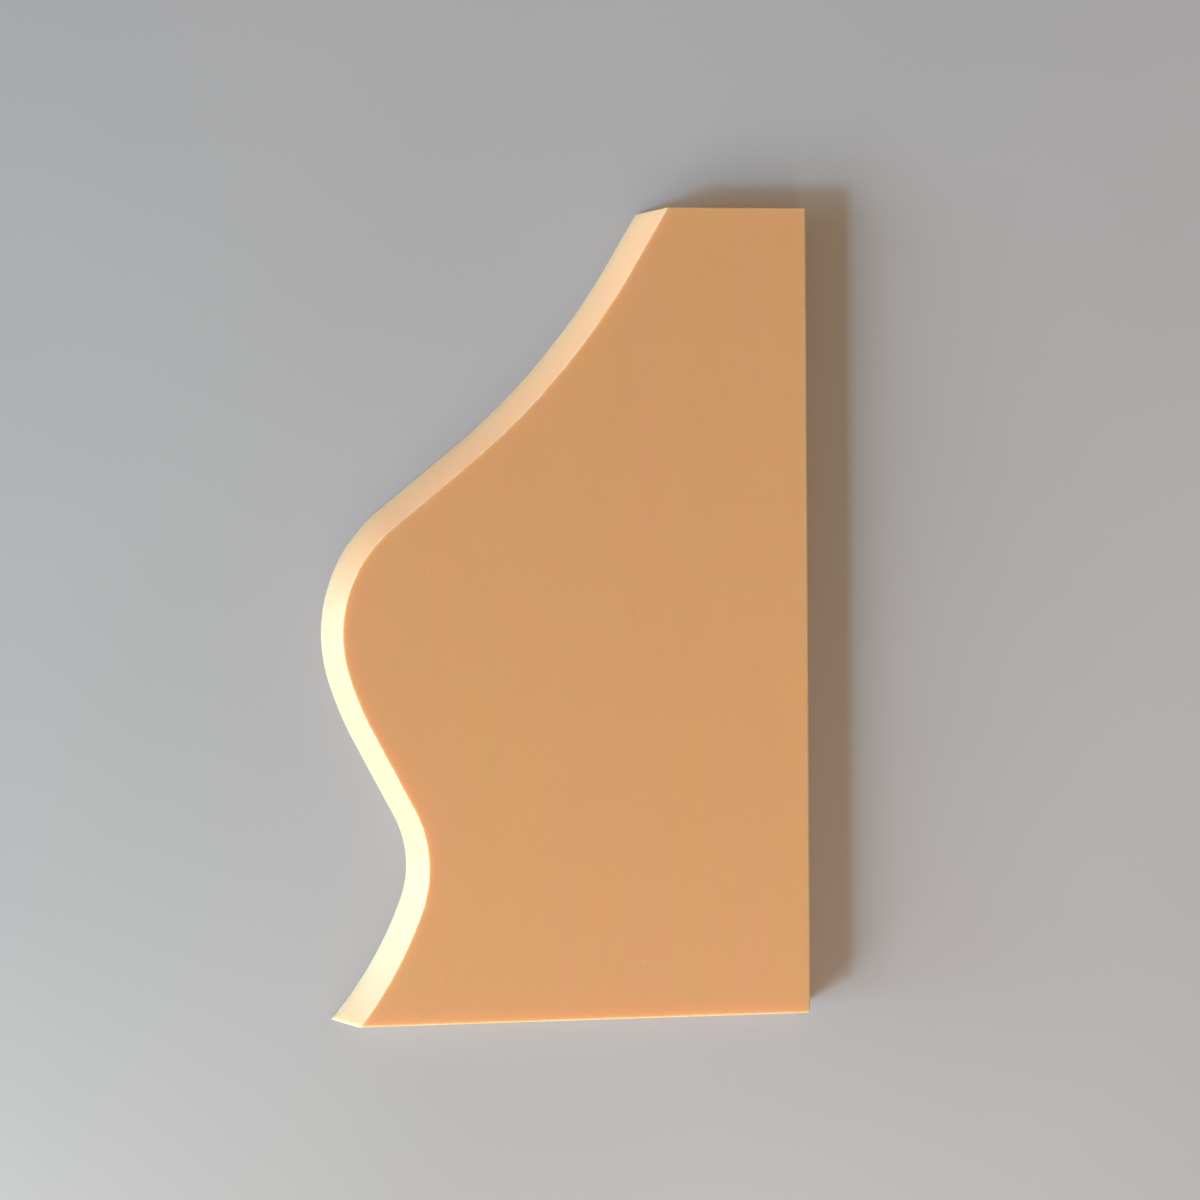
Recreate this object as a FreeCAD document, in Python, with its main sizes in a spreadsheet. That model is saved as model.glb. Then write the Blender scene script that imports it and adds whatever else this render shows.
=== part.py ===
import FreeCAD, Part
import math
import os
import Sketcher

# Transfer board: one thick slab with a straight back edge, square ends and a wavy front edge that is
# bevelled over nearly its whole height, and two ribbed rubber grips glued into recesses underneath.
# Units are millimetres.  X runs across the board with the straight back edge at +X, Y runs along it
# from the wide end (-Y) to the narrow end (+Y), and Z is up.  The origin is the middle of the
# bounding box, at the level the grips rest on.

os.makedirs("parts", exist_ok=True)
doc = FreeCAD.newDocument("transfer_board")
Vector = FreeCAD.Vector
UP = Vector(0, 0, 1)
FLATNESS = 1e-4

# ---------------------------------------------------------------- driving dimensions
# Heights are measured from the wide end, reaches from the back edge.
DIMENSIONS = [
    ("board_length", 600.0, "straight back edge, end to end"),
    ("board_width", 362.0, "back edge to the fullest point of the belly, at the foot of the bevel"),
    ("board_thickness", 20.0, "slab, underside to sliding face"),
    ("nose_height", 1.0, "blunt nose left under the bevel"),
    ("edge_break", 1.2, "rounding of the edges that hands meet"),
    ("sole_break", 0.6, "chamfer of the back and end edges of the underside"),
    ("narrow_foot", 124.0, "width of the narrow end at the foot of the bevel"),
    ("lead_angle", 59.5, "degrees between the narrow end and the start of the wavy edge"),
    ("lead_length", 41.0, "straight start of the wavy edge"),
    ("sweep_radius", 522.0, "long hollow sweep down to the belly"),
    ("belly_radius", 121.0, "belly"),
    ("belly_height", 288.0, "centre of the belly"),
    ("ease_start", 254.0, "height where the belly eases"),
    ("ease_radius", 264.0, "easing arc below the belly"),
    ("waist_reach", 380.0, "centre of the waist"),
    ("waist_height", 117.0, "centre of the waist"),
    ("waist_radius", 78.0, "waist"),
    ("tail_start", 90.0, "height where the waist opens into the tail"),
    ("tail_radius", 295.0, "tail arc that runs out at the wide end"),
    ("grip_width", 36.0, "recess for a grip, along the board"),
    ("wide_grip_length", 288.0, "recess at the wide end, across the board"),
    ("narrow_grip_length", 84.0, "recess at the narrow end, across the board"),
    ("grip_corner", 8.0, "corner radius of a recess"),
    ("grip_inset", 40.0, "end of the board to the middle of a grip"),
    ("grip_margin", 22.0, "back edge to the near end of a recess"),
    ("grip_thickness", 2.5, "rubber grip"),
    ("grip_proud", 0.5, "how far a grip stands out of the underside"),
    ("grip_gap", 0.2, "glue gap round a grip in its recess"),
    ("grip_break", 0.4, "chamfer round the face a grip rests on"),
    ("rib_pitch", 6.0, "rib to rib of a grip"),
    ("groove_width", 2.0, "groove between two ribs"),
    ("groove_depth", 0.8, "groove between two ribs"),
    ("groove_count", 6, "grooves in a grip"),
]

sheet = doc.addObject("Spreadsheet::Sheet", "Dims")
for row, (alias, value, note) in enumerate(DIMENSIONS, start=1):
    sheet.set("A%d" % row, alias)
    sheet.set("B%d" % row, str(value))
    sheet.set("C%d" % row, note)
    sheet.setAlias("B%d" % row, alias)
doc.recompute()

# Expressions used in more than one place.
GRIP_LENGTH = {"wide": "Dims.wide_grip_length", "narrow": "Dims.narrow_grip_length"}
GRIP_Y = {
    "wide": "Dims.grip_inset - Dims.board_length / 2",
    "narrow": "Dims.board_length / 2 - Dims.grip_inset",
}
RECESS_DEPTH = "Dims.grip_thickness - Dims.grip_proud"


def dim(alias):
    return float(sheet.get(alias))


def grip_x(which):
    return "Dims.board_width / 2 - Dims.grip_margin - %s / 2" % GRIP_LENGTH[which]


# ---------------------------------------------------------------- bodies, sketches and features
def new_body(label):
    body = doc.addObject("PartDesign::Body", label)
    body.Label = label
    return body


def new_sketch(body, name):
    """Sketch on the body's own ground plane."""
    sketch = body.newObject("Sketcher::SketchObject", name)
    plane = [feature for feature in body.Origin.OriginFeatures if feature.Role == "XY_Plane"]
    sketch.AttachmentSupport = [(plane[0], "")]
    sketch.MapMode = "FlatFace"
    return sketch


def constrain(sketch, kind, *places):
    sketch.addConstraint(Sketcher.Constraint(kind, *places))


def drive(sketch, name, expression, kind, *places):
    """Dimension a sketch with a value worked out from the sheet."""
    size = float(sketch.evalExpression(expression))
    if kind == "Angle":
        size = math.radians(size)
    index = sketch.addConstraint(Sketcher.Constraint(kind, *places, size))
    sketch.renameConstraint(index, name)
    sketch.setExpression("Constraints." + name, expression)


def pad(body, sketch, name, height):
    feature = body.newObject("PartDesign::Pad", name)
    feature.Profile = sketch
    feature.setExpression("Length", height)
    doc.recompute()
    return feature


def pocket_from_below(body, sketch, name, depth):
    feature = body.newObject("PartDesign::Pocket", name)
    feature.Profile = sketch
    feature.Reversed = True
    feature.setExpression("Length", depth)
    doc.recompute()
    return feature


def dress(body, kind, name, base, wanted, size):
    """Fillet or chamfer the edges of a feature that a test picks out."""
    feature = body.newObject("PartDesign::" + kind, name)
    edges = base.Shape.Edges
    feature.Base = (base, ["Edge%d" % (i + 1) for i, edge in enumerate(edges) if wanted(edge)])
    feature.setExpression("Radius" if kind == "Fillet" else "Size", size)
    doc.recompute()
    return feature


def on_level(edge, level):
    box = edge.BoundBox
    return abs(box.ZMin - level) < FLATNESS and abs(box.ZMax - level) < FLATNESS


# ---------------------------------------------------------------- the wavy edge
def polar(centre, radius, angle):
    return centre + Vector(radius * math.cos(angle), radius * math.sin(angle), 0)


def direction(vector):
    return math.atan2(vector.y, vector.x)


def cross_tangent(centre, radius, next_centre, next_radius, side):
    """Touch points of the straight line that crosses over from one circle to the next.

    side is +1 when the first circle lies right of the direction of travel, and -1 when left."""
    span = next_centre - centre
    travel = direction(span) - side * math.asin((radius + next_radius) / span.Length)
    left = Vector(-math.sin(travel), math.cos(travel), 0)
    return centre + left * (side * radius), next_centre - left * (side * next_radius)


def smoothly_widened(centre, radius, touch, wider_radius):
    """Centre of a wider circle that carries on from the first one at a given point."""
    return touch + (centre - touch) * (wider_radius / radius)


def wavy_edge():
    """Joints and arc centres along the foot of the bevel, from the narrow end to the wide end."""
    back = dim("board_width") / 2
    wide_end = -dim("board_length") / 2
    lead = math.radians(dim("lead_angle"))
    start = Vector(back - dim("narrow_foot"), -wide_end, 0)
    lead_end = polar(start, -dim("lead_length"), lead)
    sweep = polar(lead_end, dim("sweep_radius"), lead + math.pi / 2)
    belly = Vector(dim("belly_radius") - back, wide_end + dim("belly_height"), 0)
    sweep_end, belly_start = cross_tangent(sweep, dim("sweep_radius"), belly, dim("belly_radius"), 1)

    fall = dim("belly_height") - dim("ease_start")
    belly_end = polar(belly, dim("belly_radius"), math.pi + math.asin(fall / dim("belly_radius")))
    ease = smoothly_widened(belly, dim("belly_radius"), belly_end, dim("ease_radius"))
    waist = Vector(back - dim("waist_reach"), wide_end + dim("waist_height"), 0)
    ease_end, waist_start = cross_tangent(ease, dim("ease_radius"), waist, dim("waist_radius"), -1)

    fall = dim("waist_height") - dim("tail_start")
    waist_end = polar(waist, dim("waist_radius"), -math.asin(fall / dim("waist_radius")))
    tail = smoothly_widened(waist, dim("waist_radius"), waist_end, dim("tail_radius"))
    tail_end = polar(tail, dim("tail_radius"), math.asin((wide_end - tail.y) / dim("tail_radius")))

    joints = [start, lead_end, sweep_end, belly_start, belly_end, ease_end, waist_start, waist_end, tail_end]
    centres = [None, sweep, None, belly, ease, None, waist, tail]
    return joints, centres


def stretch(begin, finish, centre, hollow):
    """One stretch of the wavy edge.  A hollow arc is stored from its far end back to its near end."""
    if centre is None:
        return Part.LineSegment(begin, finish)
    circle = Part.Circle(centre, UP, (begin - centre).Length)
    if hollow:
        return Part.ArcOfCircle(circle, direction(finish - centre), direction(begin - centre))
    return Part.ArcOfCircle(circle, direction(begin - centre), direction(finish - centre))


# ---------------------------------------------------------------- slab
def draw_slab(body):
    """Outline of the slab at the foot of the bevel."""
    sketch = new_sketch(body, "slab_outline")
    joints, centres = wavy_edge()
    narrow_corner = Vector(dim("board_width") / 2, dim("board_length") / 2, 0)
    wide_corner = Vector(narrow_corner.x, -narrow_corner.y, 0)

    wavy = []
    for place, centre in enumerate(centres):
        hollow = centre is not None and centre.x < joints[place].x
        wavy.append(sketch.addGeometry(stretch(joints[place], joints[place + 1], centre, hollow)))
    lead, sweep, upper_slope, belly, ease, lower_slope, waist, tail = wavy
    wide_end = sketch.addGeometry(Part.LineSegment(joints[-1], wide_corner))
    back = sketch.addGeometry(Part.LineSegment(wide_corner, narrow_corner))
    narrow_end = sketch.addGeometry(Part.LineSegment(narrow_corner, joints[0]))

    constrain(sketch, "Tangent", lead, 2, sweep, 2)
    constrain(sketch, "Tangent", sweep, 1, upper_slope, 1)
    constrain(sketch, "Tangent", upper_slope, 2, belly, 1)
    constrain(sketch, "Tangent", belly, 2, ease, 1)
    constrain(sketch, "Tangent", ease, 2, lower_slope, 1)
    constrain(sketch, "Tangent", lower_slope, 2, waist, 2)
    constrain(sketch, "Tangent", waist, 1, tail, 2)
    constrain(sketch, "Coincident", tail, 1, wide_end, 1)
    constrain(sketch, "Coincident", wide_end, 2, back, 1)
    constrain(sketch, "Coincident", back, 2, narrow_end, 1)
    constrain(sketch, "Coincident", narrow_end, 2, lead, 1)
    constrain(sketch, "Horizontal", wide_end)
    constrain(sketch, "Horizontal", narrow_end)
    constrain(sketch, "Vertical", back)

    drive(sketch, "half_width", "Dims.board_width / 2", "DistanceX", -1, 1, back, 1)
    drive(sketch, "half_length", "Dims.board_length / 2", "DistanceY", -1, 1, back, 2)
    drive(sketch, "length", "Dims.board_length", "DistanceY", back, 1, back, 2)
    drive(sketch, "narrow_foot", "Dims.narrow_foot", "DistanceX", lead, 1, back, 2)
    drive(sketch, "lead_length", "Dims.lead_length", "Distance", lead)
    drive(sketch, "lead_angle", "Dims.lead_angle - 180", "Angle", lead)
    drive(sketch, "sweep_radius", "Dims.sweep_radius", "Radius", sweep)
    drive(sketch, "belly_radius", "Dims.belly_radius", "Radius", belly)
    drive(sketch, "belly_reach", "Dims.board_width - Dims.belly_radius", "DistanceX", belly, 3, back, 1)
    drive(sketch, "belly_height", "Dims.belly_height", "DistanceY", back, 1, belly, 3)
    drive(sketch, "ease_start", "Dims.ease_start", "DistanceY", back, 1, ease, 1)
    drive(sketch, "ease_radius", "Dims.ease_radius", "Radius", ease)
    drive(sketch, "waist_reach", "Dims.waist_reach", "DistanceX", waist, 3, back, 1)
    drive(sketch, "waist_height", "Dims.waist_height", "DistanceY", back, 1, waist, 3)
    drive(sketch, "waist_radius", "Dims.waist_radius", "Radius", waist)
    drive(sketch, "tail_start", "Dims.tail_start", "DistanceY", back, 1, tail, 2)
    drive(sketch, "tail_radius", "Dims.tail_radius", "Radius", tail)
    return sketch


def on_straight_side(edge):
    """True when the whole edge lies in the back edge or in one of the two ends."""
    box = edge.BoundBox
    back = dim("board_width") / 2
    end = dim("board_length") / 2
    return box.XMin > back - FLATNESS or box.YMin > end - FLATNESS or box.YMax < FLATNESS - end


def is_top_of_wavy_wall(edge):
    return on_level(edge, dim("board_thickness")) and not on_straight_side(edge)


def is_handled(edge):
    """Edges round the sliding face and the two upright back corners."""
    at_back = edge.BoundBox.XMin > dim("board_width") / 2 - FLATNESS
    return on_level(edge, dim("board_thickness")) or (at_back and edge.BoundBox.ZLength > FLATNESS)


def is_straight_sole_edge(edge):
    return on_level(edge, 0) and on_straight_side(edge)


def draw_rounded_rectangle(sketch, name, x, y, length, width, corner):
    """Rounded rectangle about a centre.  Every size is an expression on the sheet."""
    middle = Vector(sketch.evalExpression(x), sketch.evalExpression(y), 0)
    half_length = sketch.evalExpression(length) / 2
    half_width = sketch.evalExpression(width) / 2
    radius = sketch.evalExpression(corner)

    lines = []
    arcs = []
    for quarter in range(4):
        turn = FreeCAD.Rotation(UP, 90 * quarter)
        along, aside = (half_length, half_width) if quarter % 2 == 0 else (half_width, half_length)
        begin = middle + turn.multVec(Vector(radius - along, -aside, 0))
        finish = middle + turn.multVec(Vector(along - radius, -aside, 0))
        bend = middle + turn.multVec(Vector(along - radius, radius - aside, 0))
        first_angle = (quarter - 1) * math.pi / 2
        lines.append(sketch.addGeometry(Part.LineSegment(begin, finish)))
        circle = Part.Circle(bend, UP, radius)
        arcs.append(sketch.addGeometry(Part.ArcOfCircle(circle, first_angle, first_angle + math.pi / 2)))
    for quarter in range(4):
        constrain(sketch, "Tangent", lines[quarter], 2, arcs[quarter], 1)
        constrain(sketch, "Tangent", arcs[quarter], 2, lines[(quarter + 1) % 4], 1)
        constrain(sketch, "Horizontal" if quarter % 2 == 0 else "Vertical", lines[quarter])
    for arc in arcs[1:]:
        constrain(sketch, "Equal", arcs[0], arc)

    low, right, high, left = lines
    drive(sketch, name + "_corner", corner, "Radius", arcs[0])
    drive(sketch, name + "_length", length, "DistanceX", left, 1, right, 1)
    drive(sketch, name + "_width", width, "DistanceY", low, 1, high, 1)
    drive(sketch, name + "_right", "%s + %s / 2" % (x, length), "DistanceX", -1, 1, right, 1)
    drive(sketch, name + "_top", "%s + (%s) / 2" % (y, width), "DistanceY", -1, 1, high, 1)


def make_slab():
    body = new_body("slab")
    body.setExpression("Placement.Base.z", "Dims.grip_proud")
    blank = pad(body, draw_slab(body), "blank", "Dims.board_thickness")
    bevel = dress(body, "Chamfer", "bevel", blank, is_top_of_wavy_wall,
                  "Dims.board_thickness - Dims.nose_height")
    eased = dress(body, "Fillet", "eased_edges", bevel, is_handled, "Dims.edge_break")
    dress(body, "Chamfer", "sole_break", eased, is_straight_sole_edge, "Dims.sole_break")
    recesses = new_sketch(body, "recesses")
    for which in ("wide", "narrow"):
        draw_rounded_rectangle(recesses, which, grip_x(which), GRIP_Y[which],
                               GRIP_LENGTH[which], "Dims.grip_width", "Dims.grip_corner")
    pocket_from_below(body, recesses, "grip_recesses", RECESS_DEPTH)
    return body


# ---------------------------------------------------------------- grips
def draw_groove(body, length):
    """The groove nearest the wide end, long enough to run out at both ends of the grip."""
    sketch = new_sketch(body, body.Label + "_groove")
    y = "-Dims.rib_pitch * (Dims.groove_count - 1) / 2"
    half_length = sketch.evalExpression(length) / 2
    middle = sketch.evalExpression(y)
    half_width = dim("groove_width") / 2
    corners = [
        Vector(-half_length, middle - half_width, 0),
        Vector(half_length, middle - half_width, 0),
        Vector(half_length, middle + half_width, 0),
        Vector(-half_length, middle + half_width, 0),
    ]
    sides = []
    for corner in range(4):
        sides.append(sketch.addGeometry(Part.LineSegment(corners[corner], corners[(corner + 1) % 4])))
    low, right, high, left = sides
    for side in range(4):
        constrain(sketch, "Coincident", sides[side], 2, sides[(side + 1) % 4], 1)
        constrain(sketch, "Horizontal" if side % 2 == 0 else "Vertical", sides[side])
    drive(sketch, "groove_length", length, "DistanceX", low, 1, low, 2)
    drive(sketch, "groove_reach", "%s / 2" % length, "DistanceX", -1, 1, right, 1)
    drive(sketch, "groove_width", "Dims.groove_width", "DistanceY", right, 1, right, 2)
    drive(sketch, "groove_top", y + " + Dims.groove_width / 2", "DistanceY", -1, 1, high, 1)
    return sketch


def make_grip(which):
    body = new_body(which + "_end_grip")
    body.setExpression("Placement.Base.x", grip_x(which))
    body.setExpression("Placement.Base.y", GRIP_Y[which])
    outline = new_sketch(body, body.Label + "_outline")
    draw_rounded_rectangle(outline, which, "0", "0",
                           "(%s - 2 * Dims.grip_gap)" % GRIP_LENGTH[which],
                           "Dims.grip_width - 2 * Dims.grip_gap",
                           "Dims.grip_corner - Dims.grip_gap")
    strip = pad(body, outline, body.Label + "_strip", "Dims.grip_thickness")
    dress(body, "Chamfer", body.Label + "_break", strip, lambda edge: on_level(edge, 0),
          "Dims.grip_break")
    groove = pocket_from_below(body, draw_groove(body, GRIP_LENGTH[which]),
                               body.Label + "_first_groove", "Dims.groove_depth")
    grooves = body.newObject("PartDesign::LinearPattern", body.Label + "_grooves")
    grooves.Originals = [groove]
    grooves.Direction = (groove.Profile[0], ["V_Axis"])
    grooves.setExpression("Length", "Dims.rib_pitch * (Dims.groove_count - 1)")
    grooves.setExpression("Occurrences", "Dims.groove_count")
    body.Tip = grooves
    return body


# ---------------------------------------------------------------- build, check and export
bodies = [make_slab(), make_grip("wide"), make_grip("narrow")]
doc.recompute()

for item in doc.Objects:
    if "Invalid" in item.State or "Error" in item.State:
        raise RuntimeError("%s did not rebuild: %s" % (item.Label, item.State))
    if item.isDerivedFrom("Sketcher::SketchObject") and not item.FullyConstrained:
        raise RuntimeError(item.Label + " is not fully constrained")

for body in bodies:
    shape = body.Shape
    if shape.isNull() or not shape.isValid() or len(shape.Solids) != 1:
        raise RuntimeError(body.Label + " is not one valid solid")
    box = shape.BoundBox
    print("%s: %.1f cm3, X %.1f..%.1f, Y %.1f..%.1f, Z %.2f..%.2f" % (
        body.Label, shape.Volume / 1000, box.XMin, box.XMax, box.YMin, box.YMax, box.ZMin, box.ZMax))
    shape.exportStep("parts/%s.step" % body.Label)
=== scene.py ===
import math

import bmesh
import bpy
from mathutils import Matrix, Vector, noise


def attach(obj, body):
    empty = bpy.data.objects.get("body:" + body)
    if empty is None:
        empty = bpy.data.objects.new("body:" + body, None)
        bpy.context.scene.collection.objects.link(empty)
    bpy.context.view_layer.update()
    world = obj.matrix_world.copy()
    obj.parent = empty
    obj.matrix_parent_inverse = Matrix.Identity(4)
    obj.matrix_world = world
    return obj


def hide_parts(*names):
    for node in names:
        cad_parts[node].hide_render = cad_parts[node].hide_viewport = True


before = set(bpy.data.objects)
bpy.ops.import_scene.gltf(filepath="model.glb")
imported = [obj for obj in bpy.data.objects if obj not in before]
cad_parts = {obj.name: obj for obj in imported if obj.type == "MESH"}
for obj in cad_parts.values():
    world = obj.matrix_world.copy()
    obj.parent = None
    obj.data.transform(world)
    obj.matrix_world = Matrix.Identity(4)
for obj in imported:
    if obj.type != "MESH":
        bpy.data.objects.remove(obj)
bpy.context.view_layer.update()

# ------------------------------------------------------------------ sizes, in metres, as in the CAD
MM = 0.001
HALF_LENGTH = 300 * MM
HALF_WIDTH = 181 * MM
THICKNESS = 20 * MM
NOSE = 1 * MM
EDGE_BREAK = 1.2 * MM
SOLE_BREAK = 0.6 * MM

# the wavy edge, from the narrow end to the wide end, measured at the foot of the bevel
NARROW_FOOT = 124 * MM
LEAD_ANGLE = math.radians(59.5)
LEAD_LENGTH = 41 * MM
SWEEP_RADIUS = 522 * MM
BELLY_RADIUS = 121 * MM
BELLY_HEIGHT = 288 * MM
EASE_START = 254 * MM
EASE_RADIUS = 264 * MM
WAIST_REACH = 380 * MM
WAIST_HEIGHT = 117 * MM
WAIST_RADIUS = 78 * MM
TAIL_START = 90 * MM
TAIL_RADIUS = 295 * MM

GRIP_WIDTH = 36 * MM
GRIP_CORNER = 8 * MM
GRIP_INSET = 40 * MM
GRIP_MARGIN = 22 * MM
GRIP_THICKNESS = 2.5 * MM
GRIP_PROUD = 0.5 * MM
GRIP_GAP = 0.2 * MM
GRIP_BREAK = 0.4 * MM
RIB_PITCH = 6 * MM
GROOVE_DEPTH = 0.8 * MM
GROOVE_COUNT = 6
# length of each grip, and the end of the board it lies at
GRIPS = {"wide_end_grip": (288 * MM, -1), "narrow_end_grip": (84 * MM, 1)}

UNDERSIDE = GRIP_PROUD
RECESS_DEPTH = GRIP_THICKNESS - GRIP_PROUD

# ------------------------------------------------------------------ small shapes that only the looks have
# how far each upright corner is eased, and the least that is left where the outline is drawn in
BACK_CORNER = 1.2 * MM
WAVY_CORNER = 0.5 * MM
LEAST_CORNER = 0.15 * MM
CORNER_SPANS = 4

# the sawn foot of the bevel is very slightly ragged: how deep, up to which height, and how often a metre
FOOT_EASE = 0.04 * MM
FOOT_ROUGHNESS = 0.16 * MM
FOOT_TOP = 2.0 * MM
CHATTER_PITCH = 260.0
CHATTER_MIDDLE = 0.35
CHATTER_COARSE = 0.9
CHATTER_FINE = 0.5

# how finely the board's outline is drawn
WAVY_SPAN = 1.5 * MM
WIDE_END_SPANS = 72
BACK_SPANS = 120
NARROW_END_SPANS = 26

# the sawn side's faces look towards -X, and less steeply up than the rounded edge above them
SAWN_MOST_X = -0.1
SAWN_MOST_UP = 0.8

# height over the underside in mm, and how worn the edge is there; the same share also paints a pale
# highlight along the arrises
WALL_LEVELS = [
    (0.0, 0.7), (0.3, 0.9), (0.6, 0.9), (0.85, 1.0), (1.0, 1.0), (1.15, 0.8), (1.8, 0.2), (3.0, 0.0),
    (6.0, 0.0), (9.0, 0.0), (12.0, 0.0), (15.0, 0.0), (17.5, 0.0), (18.5, 0.15), (18.8, 0.4), (19.2, 0.8),
    (19.5, 1.0), (19.65, 1.0), (19.75, 1.0), (19.85, 1.0), (19.93, 1.0), (19.98, 0.9), (20.0, 0.8),
]
# distance in from the rounded edge of the sliding face in mm, and how worn the face is there; the same
# share also paints a pale highlight along its edge
TOP_RINGS = [(0.4, 0.55), (1.2, 0.25), (3.0, 0.08), (7.0, 0.0)]


# ------------------------------------------------------------------ the wavy edge
def polar(centre, radius, angle):
    return centre + Vector((math.cos(angle), math.sin(angle))) * radius


def angle_of(v):
    return math.atan2(v.y, v.x)


def cross_tangent(centre, radius, next_centre, next_radius, side):
    """Where a line that touches two circles and passes between them meets each."""
    span = next_centre - centre
    travel = angle_of(span) - side * math.asin((radius + next_radius) / span.length)
    left = Vector((-math.sin(travel), math.cos(travel)))
    return centre + left * (side * radius), next_centre - left * (side * next_radius)


def widened(centre, radius, touch, wider):
    """Centre of a wider circle that runs on smoothly from a circle at a point of it."""
    return touch + (centre - touch) * (wider / radius)


def wavy_stretches():
    """The foot of the bevel: lines (None, begin, finish) and arcs (centre, begin, finish)."""
    start = Vector((HALF_WIDTH - NARROW_FOOT, HALF_LENGTH))
    lead_end = polar(start, -LEAD_LENGTH, LEAD_ANGLE)
    sweep = polar(lead_end, SWEEP_RADIUS, LEAD_ANGLE + math.pi / 2)
    belly = Vector((BELLY_RADIUS - HALF_WIDTH, BELLY_HEIGHT - HALF_LENGTH))
    sweep_end, belly_start = cross_tangent(sweep, SWEEP_RADIUS, belly, BELLY_RADIUS, 1)
    belly_end = polar(belly, BELLY_RADIUS, math.pi + math.asin((BELLY_HEIGHT - EASE_START) / BELLY_RADIUS))
    ease = widened(belly, BELLY_RADIUS, belly_end, EASE_RADIUS)
    waist = Vector((HALF_WIDTH - WAIST_REACH, WAIST_HEIGHT - HALF_LENGTH))
    ease_end, waist_start = cross_tangent(ease, EASE_RADIUS, waist, WAIST_RADIUS, -1)
    waist_end = polar(waist, WAIST_RADIUS, -math.asin((WAIST_HEIGHT - TAIL_START) / WAIST_RADIUS))
    tail = widened(waist, WAIST_RADIUS, waist_end, TAIL_RADIUS)
    tail_end = polar(tail, TAIL_RADIUS, math.asin((-HALF_LENGTH - tail.y) / TAIL_RADIUS))
    return [
        (None, start, lead_end),
        (sweep, lead_end, sweep_end),
        (None, sweep_end, belly_start),
        (belly, belly_start, belly_end),
        (ease, belly_end, ease_end),
        (None, ease_end, waist_start),
        (waist, waist_start, waist_end),
        (tail, waist_end, tail_end),
    ]


STRETCHES = wavy_stretches()


def inset_point(stretch, share, inset):
    """A point at a share of the way along one stretch, moved into the board by an inset."""
    centre, begin, finish = stretch
    if centre is None:
        travel = (finish - begin).normalized()
        inward = Vector((-travel.y, travel.x))
        return begin.lerp(finish, share) + inward * inset
    from_angle = angle_of(begin - centre)
    turn = (angle_of(finish - centre) - from_angle + math.pi) % (2 * math.pi) - math.pi
    bows_out = 1 if turn > 0 else -1
    return polar(centre, (begin - centre).length - bows_out * inset, from_angle + turn * share)


def share_at_height(stretch, inset, height, guess):
    """Share of a stretch, possibly outside 0 to 1, at which its inset line crosses a height."""
    tries = 12
    nudge = 1e-4
    share = guess
    for _ in range(tries):
        here = inset_point(stretch, share, inset).y
        ahead = inset_point(stretch, share + nudge, inset).y
        share += (height - here) / ((ahead - here) / nudge)
    return share


def chatter(place):
    """Depth of the ragged foot at one place along it, as a share of its full depth, 0 to 1."""
    coarse = noise.noise(Vector((place.x, place.y, 0)) * CHATTER_PITCH)
    fine = noise.noise(Vector((place.y, place.x, 3)) * (CHATTER_PITCH * 3))
    return min(max(CHATTER_MIDDLE + CHATTER_COARSE * coarse + CHATTER_FINE * fine, 0), 1)


def wavy_line(inset, trim, rough):
    """Points along the wavy edge at one inset, cut off square at both ends of the board."""
    end = HALF_LENGTH - trim
    points = []
    for stretch in STRETCHES:
        _, begin, finish = stretch
        spans = max(4, round((finish - begin).length / WAVY_SPAN))
        is_first = stretch is STRETCHES[0]
        is_last = stretch is STRETCHES[-1]
        first_share = share_at_height(stretch, inset, end, 0.0) if is_first else 0.0
        last_share = share_at_height(stretch, inset, -end, 1.0) if is_last else 1.0
        for step in range(spans + is_last):
            share = first_share + (last_share - first_share) * step / spans
            ragged = rough * chatter(inset_point(stretch, share, inset))
            point = inset_point(stretch, share, inset + ragged)
            point.y = min(max(point.y, -end), end)
            points.append(point)
    return points


# ------------------------------------------------------------------ the board's outline
def eased_corner(before, corner, after, reach):
    """A rounded corner: a short curve that leaves and joins the two sides smoothly."""
    begin = corner + (before - corner).normalized() * reach
    finish = corner + (after - corner).normalized() * reach
    points = []
    for step in range(CORNER_SPANS + 1):
        t = step / CORNER_SPANS
        points.append(begin * (1 - t) ** 2 + corner * (2 * t * (1 - t)) + finish * t ** 2)
    return points


def straight_run(begin, finish, spans):
    """Points strictly between two ends."""
    return [begin.lerp(finish, step / spans) for step in range(1, spans)]


def board_loop(wavy_inset, straight_inset, rough=0.0):
    """One closed loop round the board, counter-clockwise seen from above."""
    wavy = wavy_line(wavy_inset, straight_inset, rough)
    back = HALF_WIDTH - straight_inset
    end = HALF_LENGTH - straight_inset
    wide = Vector((back, -end))
    narrow = Vector((back, end))
    reach = max(BACK_CORNER - straight_inset, LEAST_CORNER)
    start = eased_corner(narrow, wavy[0], wavy[1], WAVY_CORNER)
    finish = eased_corner(wavy[-2], wavy[-1], wide, WAVY_CORNER)
    wide_corner = eased_corner(wavy[-1], wide, narrow, reach)
    narrow_corner = eased_corner(wide, narrow, wavy[0], reach)
    loop = start + wavy[1:-1] + finish
    loop += straight_run(finish[-1], wide_corner[0], WIDE_END_SPANS) + wide_corner
    loop += straight_run(wide_corner[-1], narrow_corner[0], BACK_SPANS) + narrow_corner
    loop += straight_run(narrow_corner[-1], start[0], NARROW_END_SPANS)
    return loop


def round_over(height):
    """How far the rounded edge of the sliding face stands in from the wall under it, at a height."""
    over = height - (THICKNESS - EDGE_BREAK)
    return EDGE_BREAK - math.sqrt(max(EDGE_BREAK ** 2 - over ** 2, 0))


def wavy_inset_at(height):
    """How far the bevelled side stands in from its foot at one height over the underside."""
    arris = EDGE_BREAK * math.tan(math.pi / 8)
    arris_foot = THICKNESS - arris * math.sin(math.pi / 4)
    if height <= arris_foot:
        return max(height - NOSE, 0) + FOOT_EASE
    return THICKNESS - NOSE + arris - EDGE_BREAK + round_over(height)


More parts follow.
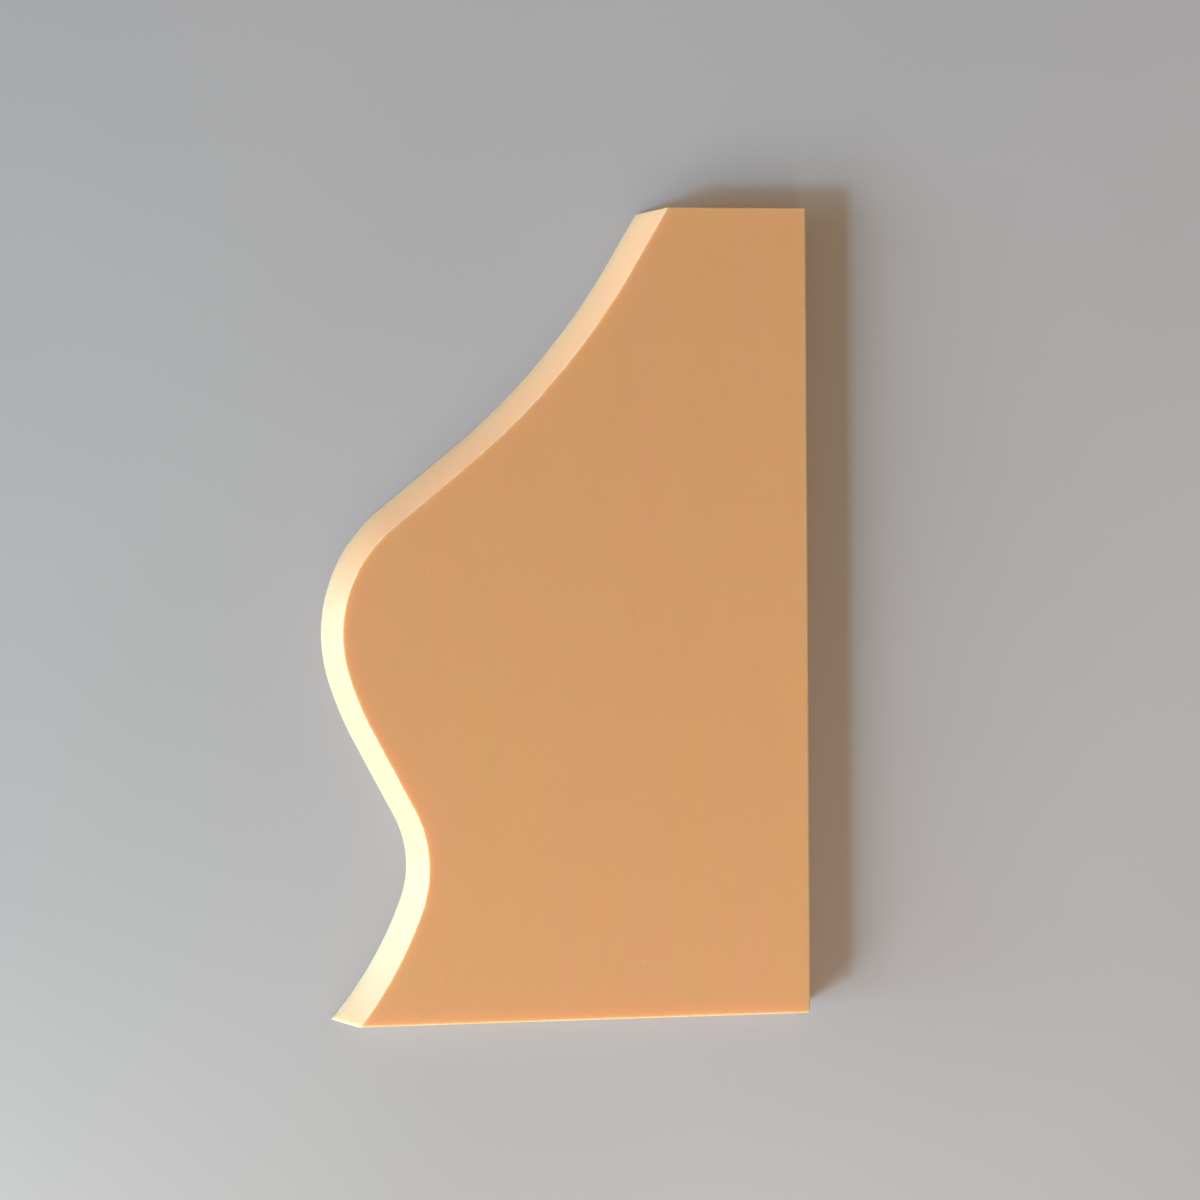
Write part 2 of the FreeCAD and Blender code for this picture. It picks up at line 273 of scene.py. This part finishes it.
def straight_inset_at(height):
    """How far a straight side stands in at one height over the underside."""
    if height < SOLE_BREAK:
        return SOLE_BREAK - height
    if height <= THICKNESS - EDGE_BREAK:
        return 0.0
    return round_over(height)


# ------------------------------------------------------------------ mesh helpers
def add_loop(bm, points, height):
    return [bm.verts.new((point.x, point.y, height)) for point in points]


def bridge(bm, lower, upper):
    """The band of faces between two loops of as many points."""
    faces = []
    for place in range(len(lower)):
        after = (place + 1) % len(lower)
        faces.append(bm.faces.new((lower[place], lower[after], upper[after], upper[place])))
    return faces


def mark(verts, layer, value):
    for vert in verts:
        vert[layer] = value


def finished_piece(bm, name, material, node):
    mesh = bpy.data.meshes.new(name)
    bm.to_mesh(mesh)
    bm.free()
    mesh.materials.append(material)
    piece = bpy.data.objects.new(name, mesh)
    bpy.context.scene.collection.objects.link(piece)
    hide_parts(node)
    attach(piece, "root")


# ------------------------------------------------------------------ board
def grip_centre(name):
    length, end = GRIPS[name]
    return Vector((HALF_WIDTH - GRIP_MARGIN - length / 2, end * (HALF_LENGTH - GRIP_INSET)))


def rounded_rectangle(middle, half_length, half_width, radius):
    spans = 6
    points = []
    for quarter, (sx, sy) in enumerate(((1, -1), (1, 1), (-1, 1), (-1, -1))):
        bend = middle + Vector((sx * (half_length - radius), sy * (half_width - radius)))
        for step in range(spans + 1):
            points.append(polar(bend, radius, (quarter - 1 + step / spans) * math.pi / 2))
    return points


def board_loops(bm, wear):
    """The loops of the board's skin, up its walls and then in over the sliding face."""
    loops = []
    for level, worn in WALL_LEVELS:
        height = level * MM
        rough = FOOT_ROUGHNESS * worn if height < FOOT_TOP else 0.0
        points = board_loop(wavy_inset_at(height), straight_inset_at(height), rough)
        loops.append(add_loop(bm, points, UNDERSIDE + height))
        mark(loops[-1], wear, worn)
    for depth, worn in TOP_RINGS:
        points = board_loop(wavy_inset_at(THICKNESS) + depth * MM, EDGE_BREAK + depth * MM)
        loops.append(add_loop(bm, points, UNDERSIDE + THICKNESS))
        mark(loops[-1], wear, worn)
    return loops


def board_skin(bm, loops, cut):
    """The walls, the rounded edges and the sliding face, with the sawn side marked."""
    for lower, upper in zip(loops, loops[1:]):
        for face in bridge(bm, lower, upper):
            face.smooth = True
            face.normal_update()
            is_sawn = face.normal.x < SAWN_MOST_X and face.normal.z < SAWN_MOST_UP
            face[cut] = 1.0 if is_sawn else 0.0
    bm.faces.new(loops[-1])


def grip_recess(bm, name):
    """The shallow recess that a grip is glued into, and the loop round its mouth."""
    length, _ = GRIPS[name]
    outline = rounded_rectangle(grip_centre(name), length / 2, GRIP_WIDTH / 2, GRIP_CORNER)
    mouth = add_loop(bm, outline, UNDERSIDE)
    ceiling = add_loop(bm, outline, UNDERSIDE + RECESS_DEPTH)
    bridge(bm, mouth, ceiling)
    bm.faces.new(ceiling)
    return mouth


def flat_underside(bm, rims):
    """The flat face between the foot of the walls and the mouths of the recesses."""
    edges = []
    for rim in rims:
        for place in range(len(rim)):
            edges.append(bm.edges.get((rim[place], rim[(place + 1) % len(rim)])))
    bmesh.ops.triangle_fill(bm, use_beauty=True, use_dissolve=False, edges=edges)


def make_board(material):
    bm = bmesh.new()
    wear = bm.verts.layers.float.new("wear")
    cut = bm.faces.layers.float.new("cut")
    loops = board_loops(bm, wear)
    board_skin(bm, loops, cut)
    mouths = [grip_recess(bm, name) for name in GRIPS]
    flat_underside(bm, [loops[0]] + mouths)
    bmesh.ops.recalc_face_normals(bm, faces=bm.faces)
    finished_piece(bm, "board", material, "slab")


# ------------------------------------------------------------------ ribbed rubber grips
# corner radius of a grip's flat underside, inside its rounded rim
GRIP_BEND = GRIP_CORNER - GRIP_GAP - GRIP_BREAK
GRIP_COLUMN = 3 * MM
LEAST_ROW = 0.03 * MM
CREASE = math.radians(50)
RIB_WEAR = 0.6
# how much higher a rim that crosses an open groove end gets, for each step up of its rounded edge
GROOVE_END_RISE = 0.1
# half of one groove: distance from its middle in mm, and share of its depth, with rounded lip and bed
GROOVE_SHAPE = [(1.3, 0.0), (1.1, 0.06), (1.0, 0.25), (0.96, 0.7), (0.85, 0.92), (0.6, 1.0), (0.0, 1.0)]
# how far out from the flat underside of a grip, and how high, in shares of its rounded edge
RIM_SHAPE = [(0.38, 0.08), (0.71, 0.29), (0.92, 0.62), (1.0, 1.0)]


def grip_half_size(name):
    """Half the length and half the width of a grip's flat underside, inside its rounded rim."""
    length, _ = GRIPS[name]
    return length / 2 - GRIP_GAP - GRIP_BREAK, GRIP_WIDTH / 2 - GRIP_GAP - GRIP_BREAK


def groove_height(across):
    """Height over the floor of a grip's underside, at a distance across from its middle."""
    share = across / RIB_PITCH + GROOVE_COUNT / 2
    if not 0 <= share < GROOVE_COUNT:
        return 0.0
    off = abs(share - math.floor(share) - 0.5) * RIB_PITCH / MM
    for (outer, high), (inner, higher) in zip(GROOVE_SHAPE, GROOVE_SHAPE[1:]):
        if inner <= off <= outer:
            return (high + (higher - high) * (outer - off) / (outer - inner)) * GROOVE_DEPTH
    return 0.0


def grip_rows(half_width):
    """Places across a grip at which its underside has a row of points."""
    rows = {round(math.sin(math.radians(10 * step)) * GRIP_BEND / MM, 3) for step in range(10)}
    rows = {row + (half_width - GRIP_BEND) / MM for row in rows}
    rows |= {-row for row in rows}
    for groove in range(GROOVE_COUNT):
        middle = (groove - (GROOVE_COUNT - 1) / 2) * RIB_PITCH / MM
        rows |= {middle + side * off for off, _ in GROOVE_SHAPE for side in (-1, 1)}
    kept = []
    for row in sorted(rows):
        if not kept or row - kept[-1] > LEAST_ROW / MM:
            kept.append(row)
    return [row * MM for row in kept]


def grip_underside(bm, name, wear):
    """The grooved underside of a grip, with dust on its ribs, and the points round its border."""
    middle = grip_centre(name)
    half_length, half_width = grip_half_size(name)
    columns = round(2 * half_length / GRIP_COLUMN)
    grid = []
    for across in grip_rows(half_width):
        past = max(abs(across) - (half_width - GRIP_BEND), 0)
        reach = half_length - GRIP_BEND + math.sqrt(max(GRIP_BEND ** 2 - past ** 2, 0))
        height = groove_height(across)
        row = []
        for column in range(columns + 1):
            along = reach * (2 * column / columns - 1)
            row.append(bm.verts.new((middle.x + along, middle.y + across, height)))
        mark(row, wear, 0.0 if height > 0 else RIB_WEAR)
        grid.append(row)
    for near, far in zip(grid, grid[1:]):
        for column in range(columns):
            bm.faces.new((near[column], far[column], far[column + 1], near[column + 1]))
    border = grid[0] + [row[-1] for row in grid[1:-1]]
    border += list(reversed(grid[-1])) + [row[0] for row in reversed(grid[1:-1])]
    return border


def grip_outward(name, point):
    """The level direction straight out of a grip's rounded outline, at a point of its border."""
    half_length, half_width = grip_half_size(name)
    bend_x = half_length - GRIP_BEND
    bend_y = half_width - GRIP_BEND
    off = point.xy - grip_centre(name)
    bend = Vector((min(max(off.x, -bend_x), bend_x), min(max(off.y, -bend_y), bend_y)))
    return (off - bend).normalized()


def grip_wall(bm, name, border, wear):
    """The rounded rim and the upright wall of a grip, and the flat face that is glued."""
    flat = [vert.co.copy() for vert in border]
    outwards = [grip_outward(name, point) for point in flat]
    heights = [(out, high * GRIP_BREAK, 1.0) for out, high in RIM_SHAPE]
    heights += [(1.0, GROOVE_DEPTH + GRIP_BREAK / 2, 0.3), (1.0, GRIP_THICKNESS, 0.0)]
    loop = border
    for out, high, worn in heights:
        upper = []
        for point, outward in zip(flat, outwards):
            aside = outward * (out * GRIP_BREAK)
            # where a groove runs out through the rim, the rim starts from the groove's bed
            level = max(high, point.z + high * GROOVE_END_RISE)
            upper.append(bm.verts.new((point.x + aside.x, point.y + aside.y, min(level, GRIP_THICKNESS))))
        mark(upper, wear, worn)
        bridge(bm, loop, upper)
        loop = upper
    bm.faces.new(loop)


def make_grip(name, material):
    bm = bmesh.new()
    wear = bm.verts.layers.float.new("wear")
    border = grip_underside(bm, name, wear)
    grip_wall(bm, name, border, wear)
    bmesh.ops.recalc_face_normals(bm, faces=bm.faces)
    for face in bm.faces:
        # all but the glued face, which has many corners and is flat
        face.smooth = len(face.verts) == 4
    for edge in bm.edges:
        edge.smooth = edge.calc_face_angle(0) < CREASE
    finished_piece(bm, name + "_rubber", material, name)


# ------------------------------------------------------------------ materials
class Paint:
    """A principled material and short ways to add nodes to it. Textures read the object's own metres."""

    def __init__(self, name):
        self.material = bpy.data.materials.new(name)
        self.material.use_nodes = True
        self.nodes = self.material.node_tree.nodes
        self.links = self.material.node_tree.links
        self.shader = self.nodes["Principled BSDF"]
        self.place = self.nodes.new("ShaderNodeTexCoord").outputs["Object"]

    def feed(self, socket, value):
        if isinstance(value, bpy.types.NodeSocket):
            self.links.new(value, socket)
        else:
            socket.default_value = value

    def mapped(self, stretch):
        node = self.nodes.new("ShaderNodeMapping")
        node.inputs["Scale"].default_value = stretch
        self.links.new(self.place, node.inputs["Vector"])
        return node.outputs["Vector"]

    def noise(self, stretch, detail=2.0, roughness=0.5):
        """Noise whose features come so many times a metre along X, Y and Z."""
        node = self.nodes.new("ShaderNodeTexNoise")
        self.links.new(self.mapped(stretch), node.inputs["Vector"])
        node.inputs["Scale"].default_value = 1.0
        node.inputs["Detail"].default_value = detail
        node.inputs["Roughness"].default_value = roughness
        return node.outputs["Fac"]

    def specks(self, pitch, size):
        """Small round spots, one to a cell: 1 in the middle of each, 0 outside."""
        node = self.nodes.new("ShaderNodeTexVoronoi")
        self.links.new(self.mapped((pitch, pitch, pitch)), node.inputs["Vector"])
        node.inputs["Scale"].default_value = 1.0
        return self.span(node.outputs["Distance"], size, size * 0.4)

    def level(self):
        """Height over the plane that the grips rest on, in metres."""
        node = self.nodes.new("ShaderNodeSeparateXYZ")
        self.links.new(self.place, node.inputs["Vector"])
        return node.outputs["Z"]

    def attribute(self, name):
        node = self.nodes.new("ShaderNodeAttribute")
        node.attribute_name = name
        return node.outputs["Fac"]

    def span(self, value, low, high, to_low=0.0, to_high=1.0):
        """A value between low and high, brought to the same place between to_low and to_high."""
        node = self.nodes.new("ShaderNodeMapRange")
        self.feed(node.inputs["Value"], value)
        node.inputs["From Min"].default_value = low
        node.inputs["From Max"].default_value = high
        node.inputs["To Min"].default_value = to_low
        node.inputs["To Max"].default_value = to_high
        return node.outputs["Result"]

    def arithmetic(self, operation, values):
        """One operation over several values, in turn."""
        result = values[0]
        for value in values[1:]:
            node = self.nodes.new("ShaderNodeMath")
            node.operation = operation
            self.feed(node.inputs[0], result)
            self.feed(node.inputs[1], value)
            result = node.outputs["Value"]
        return result

    def times(self, *values):
        return self.arithmetic("MULTIPLY", values)

    def plus(self, *values):
        return self.arithmetic("ADD", values)

    def minus(self, *values):
        return self.arithmetic("SUBTRACT", values)

    def mix(self, share, first, second):
        """A share of the second colour over the first."""
        node = self.nodes.new("ShaderNodeMix")
        node.data_type = "RGBA"
        self.feed(node.inputs["Factor"], share)
        for socket, value in (("A", first), ("B", second)):
            place = [one for one in node.inputs if one.name == socket and one.type == "RGBA"][0]
            self.feed(place, value)
        return [one for one in node.outputs if one.type == "RGBA"][0]

    def bump(self, height, distance, strength):
        node = self.nodes.new("ShaderNodeBump")
        node.inputs["Distance"].default_value = distance
        node.inputs["Strength"].default_value = strength
        self.links.new(height, node.inputs["Height"])
        self.links.new(node.outputs["Normal"], self.shader.inputs["Normal"])

    def set(self, **values):
        """Values of the shader's own sockets, with _ for a space in their names."""
        for name, value in values.items():
            self.feed(self.shader.inputs[name.replace("_", " ")], value)


PEACH = (0.812, 0.444, 0.186, 1)
PEACH_BAND = (0.826, 0.432, 0.202, 1)
PEACH_MOTTLE = (0.797, 0.415, 0.186, 1)
PALE_GRAIN = (0.86, 0.52, 0.29, 1)
HAIRLINE = (0.62, 0.30, 0.13, 1)
# paler sawn colour, partly the sawn finish and partly painted light on the side that faces the lamps
SAWN_AND_LIT_PEACH = (0.87, 0.472, 0.27, 1)
SAW_MARK = (0.74, 0.42, 0.22, 1)
PALE_CRUMB = (0.93, 0.80, 0.62, 1)
WORN_AND_LIT_PEACH = (0.90, 0.68, 0.46, 1)
# painted glow: a redder tint for the foot of the bevel, and the height over which it fades out
LIP_PAINTED_GLOW = (0.985, 0.425, 0.25, 1)
PAINTED_GLOW_HEIGHT = 8 * MM
# how far light scatters in the plastic, and the shares of that distance for red, green and blue
SCATTER = 14 * MM
SCATTER_BY_COLOUR = (1.0, 0.65, 0.45)


def board_plastic():
    """Sawn and moulded peach plastic that lets a little light through."""
    paint = Paint("board_plastic")
    bands = paint.span(paint.noise((26, 0.7, 0.7), 1.0), 0.36, 0.64)
    mottle = paint.span(paint.noise((34, 22, 30), 3.0), 0.3, 0.7)
    grain = paint.noise((900, 900, 900), 3.0, 0.6)
    hairs = paint.span(paint.noise((5, 1300, 1300), 2.0, 0.6), 0.62, 0.78)
    hairs_here = paint.span(paint.noise((11, 40, 40), 1.0), 0.45, 0.62)
    hair = paint.times(hairs, hairs_here)
    crumbs_here = paint.span(paint.noise((60, 60, 60)), 0.55, 0.6)
    crumbs = paint.times(paint.specks(75, 0.06), crumbs_here)
    worn_here = paint.span(paint.noise((160, 160, 160), 3.0), 0.35, 0.65)
    wear = paint.times(paint.attribute("wear"), worn_here)
    cut = paint.attribute("cut")
    saw_marks = paint.times(cut, paint.span(paint.noise((6, 6, 2600), 2.0), 0.35, 0.65))
    # mask of the painted glow along the foot of the sawn bevel
    lip = paint.times(cut, paint.span(paint.level(), PAINTED_GLOW_HEIGHT, UNDERSIDE))

    colour = paint.mix(bands, PEACH, PEACH_BAND)
    colour = paint.mix(paint.times(mottle, 0.5), colour, PEACH_MOTTLE)
    colour = paint.mix(paint.times(grain, 0.16), colour, PALE_GRAIN)
    colour = paint.mix(paint.times(hair, 0.2), colour, HAIRLINE)
    # the sawn bevel is painted paler and bluer: partly its sawn finish, partly a painted cool sheen of the
    # light falling on that side
    colour = paint.mix(paint.times(cut, 0.9), colour, SAWN_AND_LIT_PEACH)
    colour = paint.mix(paint.times(saw_marks, 0.12), colour, SAW_MARK)
    colour = paint.mix(paint.times(crumbs, 0.5), colour, PALE_CRUMB)
    # paler along the edges: partly wear, partly a painted highlight along the arrises
    colour = paint.mix(paint.times(wear, 0.35), colour, WORN_AND_LIT_PEACH)
    # painted glow: the thin lip at the foot of the bevel, its lowest 8 mm, is painted redder than the
    # rest, standing in for warm light glowing there
    colour = paint.mix(paint.times(lip, 0.9), colour, LIP_PAINTED_GLOW)

    rough = paint.plus(paint.span(mottle, 0, 1, 0.31, 0.37), paint.times(grain, 0.06))
    rough = paint.plus(rough, paint.times(hair, 0.1), paint.times(wear, 0.1))
    height = paint.plus(paint.times(grain, 0.35), paint.times(crumbs, 0.8))
    height = paint.minus(height, paint.times(hair, 0.5))
    height = paint.plus(height, paint.times(saw_marks, 0.5))
    paint.bump(height, 0.03 * MM, 0.5)
    paint.set(Base_Color=colour, Roughness=rough, Subsurface_Weight=1.0)
    paint.set(Subsurface_Scale=SCATTER, Subsurface_Radius=SCATTER_BY_COLOUR)
    return paint.material


RUBBER = (0.018, 0.018, 0.019, 1)
RUBBER_CLOUD = (0.035, 0.034, 0.034, 1)
RUBBER_DUST = (0.12, 0.115, 0.11, 1)
RUBBER_SCUFF = (0.09, 0.088, 0.085, 1)


def grip_rubber():
    """Black ribbed rubber, greyed with dust on its ribs."""
    paint = Paint("grip_rubber")
    cloud = paint.span(paint.noise((40, 40, 40), 4.0), 0.3, 0.7)
    pebble = paint.noise((1800, 1800, 1800), 3.0, 0.6)
    scuff = paint.span(paint.noise((30, 500, 500), 3.0), 0.5, 0.75)
    worn_here = paint.span(paint.noise((90, 90, 90), 3.0), 0.35, 0.7)
    wear = paint.times(paint.attribute("wear"), worn_here)
    colour = paint.mix(cloud, RUBBER, RUBBER_CLOUD)
    colour = paint.mix(paint.times(wear, 0.35), colour, RUBBER_DUST)
    colour = paint.mix(paint.times(scuff, 0.25), colour, RUBBER_SCUFF)
    rough = paint.plus(paint.span(cloud, 0, 1, 0.62, 0.74), paint.times(wear, 0.12))
    height = paint.minus(pebble, paint.times(scuff, 0.4))
    paint.bump(height, 0.06 * MM, 0.7)
    paint.set(Base_Color=colour, Roughness=rough)
    return paint.material


FLOOR_GREY = (0.513, 0.487, 0.488, 1)
FLOOR_CLOUD = (0.531, 0.504, 0.504, 1)
FLOOR_DUST = (0.2, 0.18, 0.18, 1)


def floor_paint():
    """Plain pale grey paint with a few specks of dust."""
    paint = Paint("floor_paint")
    cloud = paint.span(paint.noise((3, 3, 3), 3.0), 0.3, 0.7)
    grain = paint.noise((700, 700, 700), 2.0)
    dust_here = paint.span(paint.noise((20, 20, 20)), 0.56, 0.6)
    dust = paint.times(paint.specks(24, 0.022), dust_here)
    colour = paint.mix(cloud, FLOOR_GREY, FLOOR_CLOUD)
    colour = paint.mix(paint.times(dust, 0.3), colour, FLOOR_DUST)
    paint.bump(grain, 0.04 * MM, 0.4)
    paint.set(Base_Color=colour, Roughness=paint.span(cloud, 0, 1, 0.52, 0.58))
    return paint.material


# ------------------------------------------------------------------ studio
CAMERA_PLACE = (-0.02475, 0.03930, 0.90280)
# tilt about X, Y and Z in degrees; a camera with no tilt looks straight down
CAMERA_TURN = (-1.678, -3.310, -0.648)
# in Blender's own millimetres, for lens and film alike
CAMERA_LENS = 36.0
CAMERA_FILM = 36.0
CAMERA_NEAREST = 0.01
FLOOR_REACH = 5.0
# the floor lies just under the grips, so that the two don't share a plane
FLOOR_LEVEL = -0.1 * MM

AMBIENT = (1.0, 0.71, 0.40, 1)
AMBIENT_STRENGTH = 0.318
BACKDROP = (0.42, 0.41, 0.415, 1)
# name, azimuth and elevation seen from the board in degrees, distance, width and height, power, colour
LIGHTS = [
    ("window_top", (210, 25), 15.0, (3.15, 1.18), 1250, (0.36, 0.72, 1.0)),
    ("window", (203, 15.5), 15.0, (12.43, 3.95), 2710, (0.60, 0.77, 1.0)),
    ("low_window", (180, 5.0), 15.0, (8.04, 1.83), 1300, (0.50, 1.0, 1.0)),
    ("reflector", (117.5, 7.5), 8.0, (8.15, 1.96), 110, (1.0, 0.62, 0.56)),
    ("left_fill", (230.2, 14.4), 1.61, (0.5, 0.5), 9.2, (0.96, 1.0, 0.80)),
    ("near_fill", (288.4, 29.0), 1.45, (0.5, 0.5), 3.8, (1.0, 0.78, 0.72)),
    ("right_fill", (5.2, 39.2), 1.42, (0.6, 0.6), 1.3, (1.0, 0.9, 0.75)),
]


def make_camera():
    """A camera that looks down on the board from above its middle, slightly tilted."""
    data = bpy.data.cameras.new("camera")
    data.lens = CAMERA_LENS
    data.sensor_width = CAMERA_FILM
    data.clip_start = CAMERA_NEAREST
    camera = bpy.data.objects.new("camera", data)
    camera.location = CAMERA_PLACE
    camera.rotation_euler = [math.radians(angle) for angle in CAMERA_TURN]
    bpy.context.scene.collection.objects.link(camera)
    bpy.context.scene.camera = camera


def make_floor(material):
    corners = [(-1, -1), (1, -1), (1, 1), (-1, 1)]
    points = [(x * FLOOR_REACH, y * FLOOR_REACH, FLOOR_LEVEL) for x, y in corners]
    mesh = bpy.data.meshes.new("floor")
    mesh.from_pydata(points, [], [(0, 1, 2, 3)])
    mesh.materials.append(material)
    floor = bpy.data.objects.new("floor", mesh)
    bpy.context.scene.collection.objects.link(floor)


def area_light(name, direction, distance, size, power, colour):
    """A flat light that faces the board and isn't itself seen."""
    data = bpy.data.lights.new(name, "AREA")
    data.shape = "RECTANGLE"
    data.size, data.size_y = size
    data.energy = power
    data.color = colour
    light = bpy.data.objects.new(name, data)
    light.visible_camera = False
    bpy.context.scene.collection.objects.link(light)
    azimuth, elevation = (math.radians(angle) for angle in direction)
    level = polar(Vector((0, 0)), math.cos(elevation), azimuth)
    away = Vector((level.x, level.y, math.sin(elevation)))
    light.location = away * distance
    light.rotation_euler = away.to_track_quat("Z", "Y").to_euler()


def make_world():
    """Dim warm light from all round, in front of a plain pale backdrop."""
    world = bpy.data.worlds.new("studio")
    world.use_nodes = True
    nodes = world.node_tree.nodes
    links = world.node_tree.links
    ambient = nodes["Background"]
    ambient.inputs["Color"].default_value = AMBIENT
    ambient.inputs["Strength"].default_value = AMBIENT_STRENGTH
    backdrop = nodes.new("ShaderNodeBackground")
    backdrop.inputs["Color"].default_value = BACKDROP
    seen = nodes.new("ShaderNodeLightPath").outputs["Is Camera Ray"]
    mix = nodes.new("ShaderNodeMixShader")
    links.new(seen, mix.inputs[0])
    links.new(ambient.outputs[0], mix.inputs[1])
    links.new(backdrop.outputs[0], mix.inputs[2])
    links.new(mix.outputs[0], nodes["World Output"].inputs["Surface"])
    bpy.context.scene.world = world


bpy.context.scene.view_settings.view_transform = "Standard"
make_camera()
make_board(board_plastic())
rubber = grip_rubber()
for grip in GRIPS:
    make_grip(grip, rubber)
make_floor(floor_paint())
make_world()
for light in LIGHTS:
    area_light(*light)
